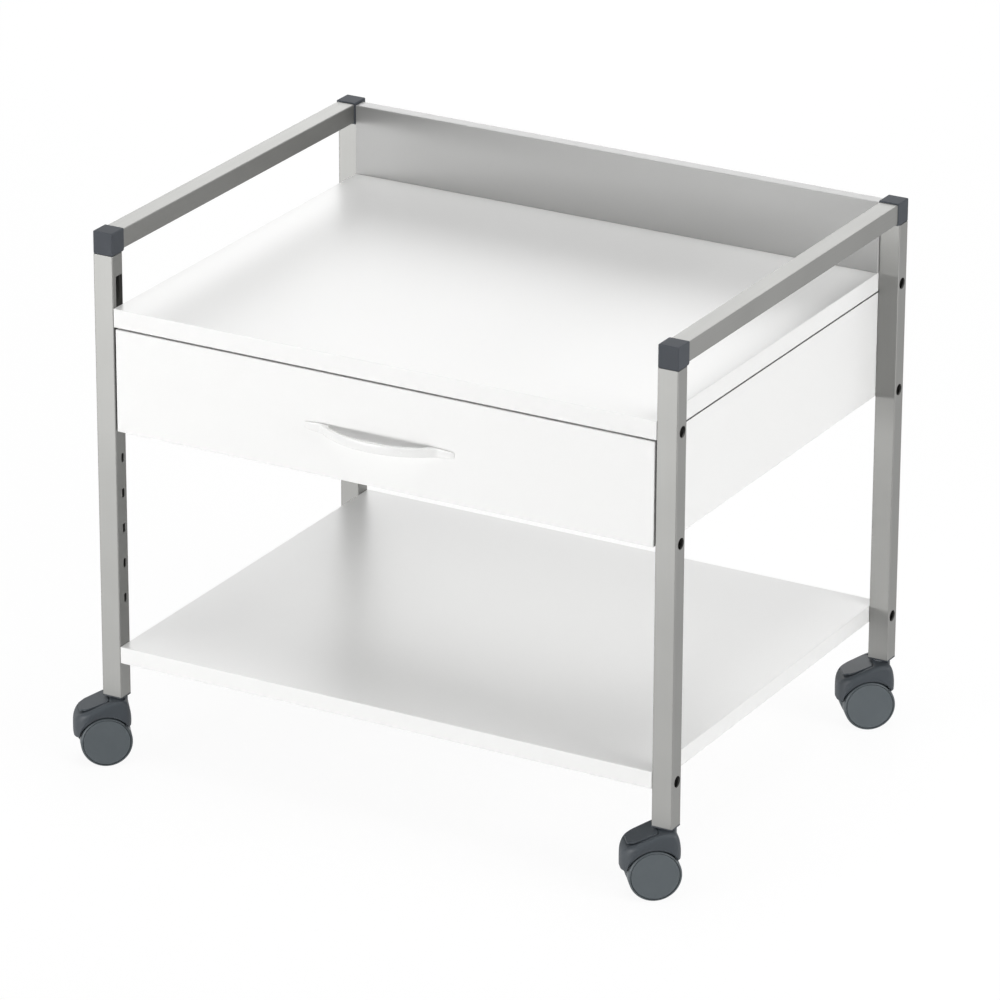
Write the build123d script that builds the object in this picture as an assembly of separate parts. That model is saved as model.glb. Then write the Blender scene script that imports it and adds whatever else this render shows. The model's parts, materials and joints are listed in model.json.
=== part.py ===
from build123d import *
import os

# Catering trolley: four square aluminium posts on hooded twin-wheel castors,
# two white boards, a low back panel, two grab rails and one wide drawer.
# Millimetres, +Z up, +X to the right, the front looks along -Y. The origin is
# on the floor under the middle of the trolley.

os.makedirs("parts", exist_ok=True)

# Driving dimensions of the frame
width = 800
depth = 600
height = 700
post = 27.5
post_wall = 2.2
post_corner = 5
bore_corner = 2.8
connector_skirt = 1.5
rail_drop = 0.5
gusset = 6
gusset_inset = 5
post_plug = 20
rail_plug = 25
plug_rib = 6
socket_wall = 2.5
socket_roof = 3

# Driving dimensions of the boards, the heights of their tops, and their fixings
shelf_drop = 95.5
top_board = 24
low_shelf_z = 159
low_board = 22
back_board = 18
back_setback = 2
back_drop = 3.3
slot_height = 39
slot_width = 14
slot_corner = 2
slot_sink = 3
tongue_up = 1
tongue_play = 3
peg_foot = 72.5
peg_slots = 5
peg_length = 12
peg_width = 5
bolt_length = 41
bolt_size = 6
bolt_head = 10
bolt_head_height = 4
bolt_key = 5
bolt_key_depth = 2
access_hole = 15
drill_depth = 42

# Driving dimensions of the drawer and the box it runs in
cabinet_height = 139
cabinet_board = 16
cabinet_base = 22
cabinet_setback = 21
cabinet_rear_inset = 8
joint_gap = 0.6
front_gap = 2.4
front_reveal = 4
front_board = 19
drawer_board = 12
drawer_rear_room = 87
drawer_head_room = 18.5
drawer_floor = 6
drawer_floor_up = 6
drawer_lift = 6.5
floor_groove = 5.5
floor_play = 0.2

# Driving dimensions of the runners: three nested steel members a side
runner_height = 45
runner_space = 12.7
runner_sheet = 1.2
runner_setback = 2
runner_shorter = 20
runner_play = 0.2
fixed_reach = 10
fixed_hook = 1.8
middle_near = 4.6
middle_far = 9
middle_shorter = 10
outer_balls = 2.2
inner_balls = 2.5
ball_strip = 3.4
moving_reach = 5.7
runner_screw = 3.2
runner_screw_head = 6.8
runner_screw_length = 12
runner_screw_first = 40
runner_screw_spacing = 180
runner_screw_count = 3

# Driving dimensions of the handle
handle_length = 206
handle_reach = 30
handle_height = 12
handle_strap = 5
handle_bow_in = 18
handle_pad = 34
handle_pad_board = 3.5
handle_boss = 12
handle_boss_reach = 14
handle_drop = 4
handle_round = 1.2
handle_screw = 4
handle_screw_in = 29
handle_screw_bite = 5.5
handle_screw_head = 8
handle_screw_head_height = 2.4

# Driving dimensions of a castor: the swivel axis is at 0, the wheels trail at -X
castor_turn = 38
castor_above = 25
wheel_radius = 32.5
wheel_width = 18.3
wheel_round = 2.5
wheel_rim = 5
wheel_face = 5
wheel_hub = 9.5
spokes = 6
spoke = 2.4
trail = 17
web = 10
web_gap = 1
axle_size = 6
axle_boss = 9
axle_cover = 2.3
axle_play = 0.4
stem_size = 11
stem_length = 31.5
stem_room = 1.5
stem_point = 1.5
stem_groove_up = 24
stem_groove = 2.4
stem_groove_depth = 0.8
neck_size = 10
neck_depth = 18
neck_wall = 3.5
collar = 2
collar_radius = 10
hood_front = 14.5
hood_tail = 7.5
hood_side_gap = 0.6
hood_wall = 2.6
hood_skirt = 17.5
hood_drop = 4
hood_lean = 12
hood_round = 12
hood_corner = 22
arch_gap = 8.5
arch_rise = 4.4
pedal_start = 12.5
pedal_back = 5
pedal_wide = 34
pedal_tip = 8
pedal_board = 2.6
pedal_lean = 7.3
pedal_up = 1
pedal_pivot = 24
pedal_pivot_down = 16
pedal_pin = 4
pedal_eye = 8
pedal_cheek = 2.5
pedal_cheek_gap = 0.3
pedal_boss = 4.4
well_front = 5
well_rear = 21
well_side = 4.5
well_floor = 0.6
shoe_start = 10
shoe_length = 8
shoe_width = 22
shoe_gap = 2.3

# Clearances: a turning fit, a fixing hole, a pressed plug, a broken board edge,
# and how far a cut or a joined lump runs past the face it meets
running_fit = 0.05
slack = 0.3
plug_play = 0.1
broken_edge = 0.6
bite = 1

# Heights and planes that follow from these
half_w = width / 2
half_d = depth / 2
inner_x = half_w - post
inner_y = half_d - post
post_x = half_w - post / 2
post_y = half_d - post / 2
post_bore = post - 2 * post_wall
plug = post_bore - 2 * plug_play
castor_height = 2 * wheel_radius + castor_above
rail_z = height - rail_drop - post
connector_z = rail_z - connector_skirt
top_shelf_z = height - shelf_drop
shelf_under = top_shelf_z - top_board
cabinet_z = shelf_under - cabinet_height
front_top = shelf_under - front_gap
front_y = -half_d + front_board
cabinet_y = -half_d + cabinet_setback
box_x = inner_x - cabinet_board
back_y = half_d - cabinet_rear_inset - cabinet_board
cabinet_floor = cabinet_z + cabinet_base
front_height = cabinet_height - front_gap - front_reveal
drawer_x = box_x - runner_space
drawer_in = drawer_x - drawer_board
drawer_z = cabinet_floor + drawer_lift
drawer_top = shelf_under - drawer_head_room
drawer_back_y = back_y - drawer_rear_room
drawer_length = drawer_back_y - front_y
runner_z = (drawer_z + drawer_top) / 2
fixed_start = cabinet_y + runner_setback
runner_length = drawer_length - runner_shorter
screw_places = [fixed_start + runner_screw_first + n * runner_screw_spacing for n in range(runner_screw_count)]
handle_z = front_top - front_height / 2 - handle_drop
handle_screw_x = handle_length / 2 - handle_screw_in
bolt_levels = [top_shelf_z - top_board / 2, cabinet_z + cabinet_base / 2, low_shelf_z - low_board / 2]
peg_pitch = (bolt_levels[1] - bolt_levels[2] - peg_foot) / peg_slots
corners = {"front_left": (-1, -1), "front_right": (1, -1), "rear_left": (-1, 1), "rear_right": (1, 1)}


def save(name, shape):
    shape.label = name
    export_step(shape, f"parts/{name}.step")


def block(x, y, z):
    """A box between two values on each axis."""
    size = [abs(b - a) for a, b in (x, y, z)]
    middle = [(a + b) / 2 for a, b in (x, y, z)]
    return Pos(*middle) * Box(*size)


def board(x, y, z):
    """A board with its sharp edges broken, as an edge-banded board has."""
    plain = block(x, y, z)
    return chamfer(plain.edges(), broken_edge)


def rod(axis, radius, start, length):
    """A round bar from a start point along X, Y or Z."""
    turns = {"x": (0, 90, 0), "y": (-90, 0, 0), "z": (0, 0, 0)}
    return Pos(*start) * Rot(*turns[axis]) * Cylinder(
        radius, length, align=(Align.CENTER, Align.CENTER, Align.MIN)
    )


def to_side(shape, side, end=1):
    """The right-hand rear shape, mirrored to the left where side is -1 and to the front where end is -1."""
    if side < 0:
        shape = mirror(shape, about=Plane.YZ)
    if end < 0:
        shape = mirror(shape, about=Plane.XZ)
    return shape


# Posts: one extruded square tube, made once for the right-hand side. Its outer
# wall has access holes for the bolts, its inner wall the bolt holes, a long
# slot above the top board and short slots for moving the lower board.
def tube_outline():
    return RectangleRounded(post, post, post_corner) - RectangleRounded(post_bore, post_bore, bore_corner)


def make_post():
    tube = Pos(0, 0, castor_height) * extrude(tube_outline(), connector_z - castor_height)
    inner = -post / 2
    wall_cut = post_wall + 2 * bite
    for level in bolt_levels:
        tube -= rod("x", access_hole / 2, (0, 0, level), post)
        tube -= rod("x", bolt_size / 2 + slack, (inner - bite, 0, level), wall_cut)
    slot_tall = slot_height + slot_sink
    long_slot = extrude(Plane.YZ * RectangleRounded(slot_width, slot_tall, slot_corner), wall_cut, both=True)
    tube -= Pos(inner, 0, top_shelf_z + slot_height - slot_tall / 2) * long_slot
    short_slot = extrude(Plane.YZ * SlotOverall(peg_length, peg_width, rotation=90), wall_cut, both=True)
    for step in range(1, peg_slots + 1):
        tube -= Pos(inner, 0, bolt_levels[1] - step * peg_pitch) * short_slot
    return tube


post_shape = make_post()
for corner, (side, end) in corners.items():
    save(f"post_{corner}", to_side(Pos(post_x, post_y, 0) * post_shape, side, end))


# Corner connectors: a moulded elbow with the tube's rounding, a finned plug
# down into the post, another into the rail, and a small gusset under the rail.
def fins(length, across, high):
    """Two crossed ribs along Z that fill a square or oblong bore."""
    return Pos(0, 0, length / 2) * (Box(across, plug_rib, length) + Box(plug_rib, high, length))


def make_connector():
    cap = block((inner_x, half_w), (inner_y, half_d), (connector_z, height))
    upper = cap.edges().group_by(Axis.Z)[-1]
    outer = cap.edges().group_by(Axis.Y)[-1]
    cap = fillet(upper.filter_by(Axis.Y) + outer.filter_by(Axis.Z) + outer.group_by(Axis.Z)[-1], post_corner)
    down = Pos(post_x, post_y, connector_z - post_plug) * fins(post_plug + bite, plug, plug)
    start = Pos(post_x, inner_y + bite, rail_z + post / 2) * Rot(90, 0, 0)
    along = start * fins(rail_plug + bite, plug, plug)
    profile = Rectangle(gusset, gusset, align=(Align.MAX, Align.MAX))
    profile -= Pos(-gusset, -gusset) * Circle(gusset)
    gusset_plane = Plane(origin=(inner_x + gusset_inset, inner_y, rail_z), x_dir=(0, 1, 0), z_dir=(1, 0, 0))
    under = extrude(gusset_plane * profile, post - 2 * gusset_inset)
    return cap + down + along + under


connector = make_connector()
for corner, (side, end) in corners.items():
    save(f"corner_connector_{corner}", to_side(connector, side, end))


# Grab rails: a length of the posts' tube on each side
rail = extrude(tube_outline(), 2 * inner_y)
rail = Pos(post_x, inner_y, rail_z + post / 2) * Rot(90, 0, 0) * rail
save("top_rail_right", rail)
save("top_rail_left", to_side(rail, -1))


# Castor sockets: a plug pressed into the foot of each post, with a round bore
# that the castor's stem turns in.
def make_socket():
    flange = extrude(RectangleRounded(post, post, post_corner), -collar)
    bore_length = stem_length + stem_room
    bore = rod("z", stem_size / 2 + running_fit, (0, 0, -collar), bore_length)
    inside = bore_length - collar + socket_roof
    boss = rod("z", stem_size / 2 + socket_wall, (0, 0, 0), inside)
    return Pos(0, 0, castor_height) * (flange + fins(inside, plug, plug) + boss - bore)


socket = make_socket()
for corner, (side, end) in corners.items():
    save(f"castor_socket_{corner}", Pos(side * post_x, end * post_y, 0) * socket)


# Boards between the posts. Each end is drilled for the bolts through the posts.
def drilled(shape, level):
    for side in (-1, 1):
        for end in (-1, 1):
            start = -inner_x if side < 0 else inner_x - drill_depth
            shape -= rod("x", bolt_size / 2 + slack, (start, end * post_y, level), drill_depth)
    return shape


top_shelf = board((-inner_x, inner_x), (-half_d, half_d), (shelf_under, top_shelf_z))
save("top_shelf", drilled(top_shelf, bolt_levels[0]))
low_shelf = board((-inner_x, inner_x), (-half_d, half_d), (low_shelf_z - low_board, low_shelf_z))
save("lower_shelf", drilled(low_shelf, bolt_levels[2]))

# Back panel, with a tongue at each end that drops into the posts' long slots
panel_y = inner_y + back_setback
panel_top = height - back_drop
back_panel = board((-inner_x, inner_x), (panel_y, panel_y + back_board), (top_shelf_z, panel_top))
tongue = slot_width / 2 - bite
tongue_z = (top_shelf_z + tongue_up, top_shelf_z + slot_height - tongue_play)
for side in (-1, 1):
    reach = (side * (inner_x - bite), side * (inner_x + post_wall - slack))
    back_panel += block(reach, (post_y - tongue, post_y + tongue), tongue_z)
save("back_panel", back_panel)

# The box the drawer runs in: two sides against the posts, a bottom, a back.
# The sides end just below the top board, and the posts' bolts hold them. They
# are also drilled for the screws of the runners.
cabinet_side = board((box_x, inner_x), (cabinet_y, half_d), (cabinet_z, shelf_under - joint_gap))
cabinet_side = drilled(cabinet_side, bolt_levels[1])
for place in screw_places:
    cabinet_side -= rod("x", runner_screw / 2 + slack, (box_x, place, runner_z), runner_screw_length)
save("cabinet_side_right", cabinet_side)
save("cabinet_side_left", to_side(cabinet_side, -1))
cabinet_bottom = board((-box_x, box_x), (cabinet_y, half_d), (cabinet_z, cabinet_floor))
save("cabinet_bottom", drilled(cabinet_bottom, bolt_levels[1]))
save("cabinet_back", board((-box_x, box_x), (back_y, back_y + cabinet_board), (cabinet_floor, shelf_under)))


# Frame bolts: a socket-head bolt at each post and level, its head inside the
# post against the inner wall, reached through the hole in the outer wall. The
# drawer's front passes the middle hole of a front post, which stays empty.
def make_bolt():
    head = rod("x", bolt_head / 2, (0, 0, 0), bolt_head_height)
    head = chamfer(head.edges().group_by(Axis.X)[-1], broken_edge)
    key = RegularPolygon(bolt_key / 2, 6, major_radius=False)
    shank = rod("x", bolt_size / 2, (-bolt_length, 0, 0), bolt_length + bite)
    return head - extrude(Plane.YZ.offset(bolt_head_height - bolt_key_depth) * key, bolt_head_height) + shank


bolt = make_bolt()
bolts = []
for side, end in corners.values():
    for level in bolt_levels:
        if end < 0 and level == bolt_levels[1]:
            continue
        seat = Pos(inner_x + post_wall, post_y, level) * bolt
        bolts.append(to_side(seat, side, end))
save("frame_bolts", Compound(bolts))


# Drawer: front, two sides with a groove for the floor, a back on the floor
front_x = inner_x - front_gap
front = board((-front_x, front_x), (-half_d, front_y), (front_top - front_height, front_top))
for side in (-1, 1):
    start = (side * handle_screw_x, -half_d - bite, handle_z)
    front -= rod("y", handle_screw / 2 + slack, start, front_board + 2 * bite)
save("drawer_front", front)
floor_z = drawer_z + drawer_floor_up
floor_top = floor_z + drawer_floor
side_board = board((drawer_in, drawer_x), (front_y, drawer_back_y), (drawer_z, drawer_top))
groove_x = (drawer_in - bite, drawer_in + floor_groove)
side_board -= block(groove_x, (front_y - bite, drawer_back_y + bite), (floor_z, floor_top + floor_play))
save("drawer_side_right", side_board)
save("drawer_side_left", to_side(side_board, -1))
floor_x = drawer_in + floor_groove - slack
save("drawer_bottom", block((-floor_x, floor_x), (front_y, drawer_back_y), (floor_z, floor_top)))
back_span = (drawer_back_y - drawer_board, drawer_back_y)
save("drawer_back", board((-drawer_in, drawer_in), back_span, (floor_top, drawer_top)))


# Handle: a flat strap bowed out from two feet, screwed from inside the drawer
def make_handle():
    span = handle_length / 2 - handle_bow_in
    bow = (span**2 + handle_reach**2) / (2 * handle_reach)
    middle = Pos(0, bow - handle_reach)
    outer = middle * Circle(bow)
    front_half = Rectangle(handle_length, handle_reach, align=(Align.CENTER, Align.MAX))
    strap = (outer - middle * Circle(bow - handle_strap)) & front_half
    for side in (-1, 1):
        pad = Rectangle(handle_pad, handle_pad_board, align=(Align.CENTER, Align.MAX))
        strap += Pos(side * (handle_length / 2 - handle_pad / 2), 0) * pad
        boss = Rectangle(handle_boss, handle_boss_reach, align=(Align.CENTER, Align.MAX))
        strap += Pos(side * handle_screw_x, 0) * boss & outer
    solid = extrude(strap, handle_height / 2, both=True)
    long_edges = solid.edges().filter_by(lambda edge: edge.length > handle_length / 4)
    solid = Pos(0, -half_d, handle_z) * fillet(long_edges, handle_round)
    for side in (-1, 1):
        start = (side * handle_screw_x, -half_d - handle_screw_bite - slack, handle_z)
        solid -= rod("y", handle_screw / 2 + slack, start, handle_screw_bite + slack + bite)
    return solid


save("drawer_handle", make_handle())
screws = []
for side in (-1, 1):
    at = side * handle_screw_x
    shank_length = handle_screw_bite + front_board + bite
    shank = rod("y", handle_screw / 2, (at, -half_d - handle_screw_bite, handle_z), shank_length)
    head = rod("y", handle_screw_head / 2, (at, front_y, handle_z), handle_screw_head_height)
    screws.append(shank + chamfer(head.edges().group_by(Axis.Y)[-1], handle_screw_head_height / 2))
save("handle_screws", Compound(screws))


# Telescopic runners, in three nested steel members a side. Profiles are drawn
# with X across the gap from the cabinet side and Y up, then run along the drawer.
def run(profile, start, length):
    """Extrude a runner profile along +Y, on the right-hand side."""
    plane = Plane(origin=(box_x, start, runner_z), x_dir=(-1, 0, 0), z_dir=(0, 1, 0))
    return extrude(plane * profile, length)


def channel(near, far, half, sheet):
    """A C of sheet steel: its web at near, its flanges reaching to far."""
    low, high = min(near, far), max(near, far)
    outline = Pos((low + high) / 2, 0) * Rectangle(high - low, 2 * half)
    open_side = sheet if far > near else -sheet
    return outline - Pos((low + high) / 2 + open_side, 0) * Rectangle(high - low, 2 * (half - sheet))


outer_half = runner_height / 2
middle_half = outer_half - runner_sheet - runner_play - outer_balls
inner_half = middle_half - runner_sheet - runner_play - inner_balls
hook_up = outer_half - runner_sheet - fixed_hook / 2
strip_x = (middle_near + middle_far) / 2
fixed = channel(0, fixed_reach, outer_half, runner_sheet)
middle = channel(middle_near, middle_far, middle_half, runner_sheet)
moving = channel(runner_space, runner_space - moving_reach, inner_half, runner_sheet)
for end in (-1, 1):
    fixed += Pos(fixed_reach - runner_sheet / 2, end * hook_up) * Rectangle(runner_sheet, fixed_hook)
    middle += Pos(strip_x, end * (middle_half + outer_balls / 2)) * Rectangle(ball_strip, outer_balls)
    inner_up = inner_half + runner_play + inner_balls / 2
    middle += Pos(strip_x, end * inner_up) * Rectangle(ball_strip, inner_balls)
fixed_runner = run(fixed, fixed_start, runner_length)
runner_screws = []
head_x = box_x - runner_sheet
hole_length = runner_sheet + 2 * bite
for place in screw_places:
    fixed_runner -= rod("x", runner_screw / 2 + slack, (head_x - bite, place, runner_z), hole_length)
    head = rod("x", runner_screw_head / 2, (head_x - runner_sheet, place, runner_z), runner_sheet)
    screw = head + rod("x", runner_screw / 2, (head_x - slack, place, runner_z), runner_screw_length)
    runner_screws += [screw, to_side(screw, -1)]
parts_of_runner = {
    "runner_fixed": fixed_runner,
    "runner_middle": run(middle, fixed_start + middle_shorter / 2, runner_length - middle_shorter),
    "runner_drawer": run(moving, fixed_start, runner_length),
}
for name, shape in parts_of_runner.items():
    save(f"{name}_right", shape)
    save(f"{name}_left", to_side(shape, -1))
save("runner_screws", Compound(runner_screws))


# Castors. Each is drawn with its swivel axis on Z and its wheels trailing
# along -X, then turned and set under its post.
stem_z = castor_height - collar
hood_top = stem_z - collar
roof_z = hood_top - hood_drop
wheel_side = web / 2 + web_gap
wheel_end = wheel_side + wheel_width
axle_half = wheel_end - axle_cover
hood_rear = trail + wheel_radius + hood_tail
hood_length = hood_front + hood_rear
hood_x = hood_front - hood_length / 2
hood_width = 2 * (wheel_end + hood_side_gap + hood_wall)
hood_bottom = wheel_radius + hood_skirt
pedal_end = hood_rear - pedal_back
pedal_pivot_z = hood_top - pedal_pivot_down
cheek_y = web / 2 + pedal_cheek_gap
far = 200


def upright(sketch, half_wide, middle=0):
    """Extrude a sketch drawn in the XZ plane to both sides of a plane at Y."""
    return Pos(0, middle, 0) * extrude(Plane.XZ * sketch, half_wide, both=True)


def above(z, lean):
    """Everything above a plane that falls towards -X from the front end of the pedal, for cutting a roof."""
    return Pos(-pedal_start, 0, z) * Rot(0, -lean, 0) * Pos(0, 0, far / 2) * Box(2 * far, far, far)


def hood_solid(inset):
    """The hood's outer form, or its hollow when inset by the wall."""
    plan = RectangleRounded(hood_length - 2 * inset, hood_width - 2 * inset, hood_corner - inset)
    solid = Pos(hood_x, 0, hood_bottom - hood_wall) * extrude(plan, hood_top) - above(roof_z - inset, hood_lean)
    half_way = (hood_bottom + roof_z) / 2 - hood_wall
    rim = solid.edges().filter_by(lambda edge: edge.center().Z > half_way and abs(edge.tangent_at(0.5).Z) < 0.3)
    return fillet(rim, hood_round - inset)


def make_housing():
    """The moulded housing: domed hood, spine between the wheels, neck for the stem and pins for the pedal."""
    neck = rod("z", collar_radius + bite, (0, 0, hood_top - neck_depth), neck_depth)
    hood = hood_solid(0) + chamfer(neck.edges().group_by(Axis.Z)[-1], broken_edge)
    hood -= hood_solid(hood_wall)
    hood -= block((-far, far), (-far, far), (0, hood_bottom))
    arch_radius = wheel_radius + arch_gap
    hood -= upright(Pos(hood_x, 2 * wheel_radius + arch_rise - arch_radius) * Circle(arch_radius), far)
    well_x = (-pedal_pivot - well_rear, -pedal_pivot + well_front)
    well_y = cheek_y + pedal_cheek + well_side
    hood -= block(well_x, (-well_y, well_y), (pedal_pivot_z + well_floor, far))
    neck_radius = neck_size / 2 + neck_wall
    bosses = Pos(-trail, wheel_radius) * Circle(axle_boss)
    bosses += Pos(0, roof_z - collar_radius) * Circle(collar_radius)
    bosses += Pos(-pedal_pivot, pedal_pivot_z) * Circle(pedal_boss)
    spine = upright(make_hull(bosses.edges()), web / 2)
    spine += rod("z", neck_radius, (0, 0, hood_top - neck_depth - 2 * bite), neck_depth)
    pin_end = cheek_y + pedal_cheek
    pins = rod("y", pedal_pin / 2, (-pedal_pivot, -pin_end, pedal_pivot_z), 2 * pin_end)
    housing = hood + spine + pins
    housing -= rod("z", neck_size / 2 + slack, (0, 0, hood_top - neck_depth - bite), far)
    return housing - rod("y", axle_size / 2 + slack, (-trail, -far / 2, wheel_radius), far)


def make_stem():
    """The steel stem: a pin down into the hood, a collar, and a grooved shank up into the post's socket."""
    stem = rod("z", stem_size / 2, (0, 0, stem_z), stem_length)
    stem = chamfer(stem.edges().group_by(Axis.Z)[-1], stem_point)
    start = (0, 0, stem_z + stem_groove_up)
    groove = rod("z", stem_size, start, stem_groove)
    groove -= rod("z", stem_size / 2 - stem_groove_depth, start, stem_groove)
    stem += rod("z", collar_radius, (0, 0, hood_top), collar)
    return stem - groove + rod("z", neck_size / 2, (0, 0, hood_top - neck_depth), neck_depth)


def make_wheel():
    """The wheel on the +Y side: a moulded disc, hollow and ribbed behind."""
    near = wheel_side
    end = wheel_end
    rim = wheel_radius - wheel_rim
    shoulder = wheel_radius - wheel_round
    floor = end - wheel_face
    with BuildPart() as disc:
        with BuildSketch(Plane.YZ):
            with BuildLine():
                Polyline((near, 0), (near, wheel_hub), (floor, wheel_hub), (floor, rim))
                Polyline((floor, rim), (near, rim), (near, shoulder))
                RadiusArc((near, shoulder), (near + wheel_round, wheel_radius), wheel_round)
                Line((near + wheel_round, wheel_radius), (end - wheel_round, wheel_radius))
                RadiusArc((end - wheel_round, wheel_radius), (end, shoulder), wheel_round)
                Polyline((end, shoulder), (end, 0), (near, 0))
            make_face()
        revolve(axis=Axis.Y)
    solid = disc.part
    spoke_shape = block((wheel_hub - bite, rim + bite), (near + web_gap, floor + bite), (-spoke / 2, spoke / 2))
    for step in range(spokes):
        solid += Rot(0, 360 / spokes * step, 0) * spoke_shape
    bore = rod("y", axle_size / 2 + running_fit, (0, 0, 0), axle_half + axle_play)
    return Pos(-trail, 0, wheel_radius) * (solid - bore)


def make_pedal():
    """A tapered plate on two cheeks that clip over the housing's pins, with the brake shoe below."""
    wide = pedal_wide / 2
    tip = pedal_tip / 2
    points = [(-pedal_start, wide), (-pedal_end, tip), (-pedal_end, -tip), (-pedal_start, -wide)]
    plan = Pos(0, 0, hood_bottom) * extrude(make_face(Polyline(*points, close=True)), far)
    under_z = roof_z + pedal_up
    over = above(under_z, pedal_lean)
    pedal = (plan & over) - above(under_z + pedal_board, pedal_lean)
    for side in (-1, 1):
        arm = Circle(pedal_eye / 2) + Pos(0, pedal_eye) * Rectangle(pedal_eye, 2 * pedal_eye)
        place = side * (cheek_y + pedal_cheek / 2)
        pedal += upright(Pos(-pedal_pivot, pedal_pivot_z) * arm, pedal_cheek / 2, place) - over
    shoe_x = -pedal_pivot - shoe_start
    shoe = block((shoe_x - shoe_length, shoe_x), (-shoe_width / 2, shoe_width / 2), (hood_bottom, far)) - over
    pedal += shoe - rod("y", wheel_radius + shoe_gap, (-trail, -far / 2, wheel_radius), far)
    return pedal - rod("y", pedal_pin / 2 + running_fit, (-pedal_pivot, -far / 2, pedal_pivot_z), far)


wheel = make_wheel()
castor = {
    "housing": make_housing(),
    "stem": make_stem(),
    "axle": rod("y", axle_size / 2, (-trail, -axle_half, wheel_radius), 2 * axle_half),
    "wheel_left": wheel,
    "wheel_right": mirror(wheel, about=Plane.XZ),
    "brake_pedal": make_pedal(),
}
for corner, (side, end) in corners.items():
    place = Pos(side * post_x, end * post_y, 0) * Rot(0, 0, castor_turn)
    for piece, shape in castor.items():
        save(f"castor_{corner}_{piece}", place * shape)
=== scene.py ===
import json
import math

import bmesh
import bpy
from mathutils import Matrix, Vector

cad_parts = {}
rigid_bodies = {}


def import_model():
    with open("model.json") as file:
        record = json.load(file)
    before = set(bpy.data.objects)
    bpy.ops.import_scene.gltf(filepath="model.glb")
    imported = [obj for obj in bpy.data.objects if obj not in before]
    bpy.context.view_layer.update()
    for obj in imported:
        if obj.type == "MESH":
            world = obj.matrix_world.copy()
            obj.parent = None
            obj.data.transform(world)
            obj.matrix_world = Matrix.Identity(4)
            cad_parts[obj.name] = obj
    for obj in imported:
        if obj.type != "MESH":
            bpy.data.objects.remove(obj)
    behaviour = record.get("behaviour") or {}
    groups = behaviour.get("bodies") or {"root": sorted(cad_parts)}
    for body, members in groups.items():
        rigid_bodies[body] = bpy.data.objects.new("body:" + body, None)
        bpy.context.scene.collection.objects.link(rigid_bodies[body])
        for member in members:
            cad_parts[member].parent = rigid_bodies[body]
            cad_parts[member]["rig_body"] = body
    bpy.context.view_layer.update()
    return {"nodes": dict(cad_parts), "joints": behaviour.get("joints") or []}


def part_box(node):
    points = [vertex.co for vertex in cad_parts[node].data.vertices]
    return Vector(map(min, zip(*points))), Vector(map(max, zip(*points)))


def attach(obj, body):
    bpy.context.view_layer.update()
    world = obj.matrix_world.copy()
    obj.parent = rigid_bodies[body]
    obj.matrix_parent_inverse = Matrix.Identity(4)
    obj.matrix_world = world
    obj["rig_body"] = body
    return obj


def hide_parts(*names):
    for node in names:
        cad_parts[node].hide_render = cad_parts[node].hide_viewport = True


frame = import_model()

nodes = frame["nodes"]
corners = ["front_left", "front_right", "rear_left", "rear_right"]


# The posts: oblong tube in aluminium, extruded, cut to length and satin
# anodised. The inner wall of each is slotted, and the foot and top are closed
# by moulded plugs. They are the frame that everything else bolts to.
def linear(hex_colour):
    """An sRGB hex colour as the linear red, green, blue and alpha that Blender's sockets take."""
    channels = [int(hex_colour[i : i + 2], 16) / 255 for i in (1, 3, 5)]
    return [c / 12.92 if c <= 0.04045 else ((c + 0.055) / 1.055) ** 2.4 for c in channels] + [1]


def add(tree, kind, settings=None, links=None):
    """Adds a node. Settings name its sockets or its own properties, links say what feeds its sockets."""
    new = tree.nodes.new("ShaderNode" + kind)
    for key, value in (settings or {}).items():
        if isinstance(key, int) or key in new.inputs:
            new.inputs[key].default_value = value
        else:
            setattr(new, key, value)
    for key, source in (links or {}).items():
        tree.links.new(source, new.inputs[key])
    return new


def blank(name):
    """A new material with its tree and its shader."""
    material = bpy.data.materials.new(name)
    material.use_nodes = True
    tree = material.node_tree
    return material, tree, tree.nodes["Principled BSDF"]


def wear_finish(name, material):
    """Gives a CAD node its material."""
    mesh = nodes[name].data
    mesh.materials.clear()
    mesh.materials.append(material)


def satin_aluminium(name, along):
    """Anodised aluminium extrusion: a soft grey sheen with faint die lines along its length.

    Real die lines are about 0.2 mm apart; they are drawn 1.2 mm apart so that they show.
    """
    material, tree, shader = blank(name)
    line_pitch = 0.0012
    across = 1 / line_pitch
    scale = [across, across, across]
    scale[along] = 5
    place = add(tree, "TexCoord")
    drawn = add(tree, "Mapping", {"Scale": scale}, {"Vector": place.outputs["Object"]})
    fine = {"Scale": 1, "Detail": 3, "Roughness": 0.6}
    lines = add(tree, "TexNoise", fine, {"Vector": drawn.outputs["Vector"]})
    cloud = add(tree, "TexNoise", {"Scale": 14, "Detail": 2}, {"Vector": place.outputs["Object"]})
    tone = {"Color1": linear("#8A8A88"), "Color2": linear("#929290")}
    colour = add(tree, "MixRGB", tone, {"Fac": cloud.outputs["Fac"]})
    rough = add(tree, "MapRange", {"To Min": 0.44, "To Max": 0.54}, {"Value": lines.outputs["Fac"]})
    relief = add(tree, "Bump", {"Strength": 0.25, "Distance": 0.00006}, {"Height": lines.outputs["Fac"]})
    shader.inputs["Metallic"].default_value = 1
    tree.links.new(colour.outputs["Color"], shader.inputs["Base Color"])
    tree.links.new(rough.outputs["Result"], shader.inputs["Roughness"])
    tree.links.new(relief.outputs["Normal"], shader.inputs["Normal"])
    return material


def skin(mesh, rows, closed=True, opening=None):
    """Joins rows of points, each joined to the next, into a surface with an optional opening."""
    rows = [[mesh.verts.new(point) for point in row] for row in rows]
    for first, second in zip(rows, rows[1:]):
        for step in range(len(first) if closed else len(first) - 1):
            after = (step + 1) % len(first)
            four = (first[step], first[after], second[after], second[step])
            if not (opening and opening(sum((vert.co for vert in four), Vector()) / 4)):
                mesh.faces.new(four)
    return rows


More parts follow.
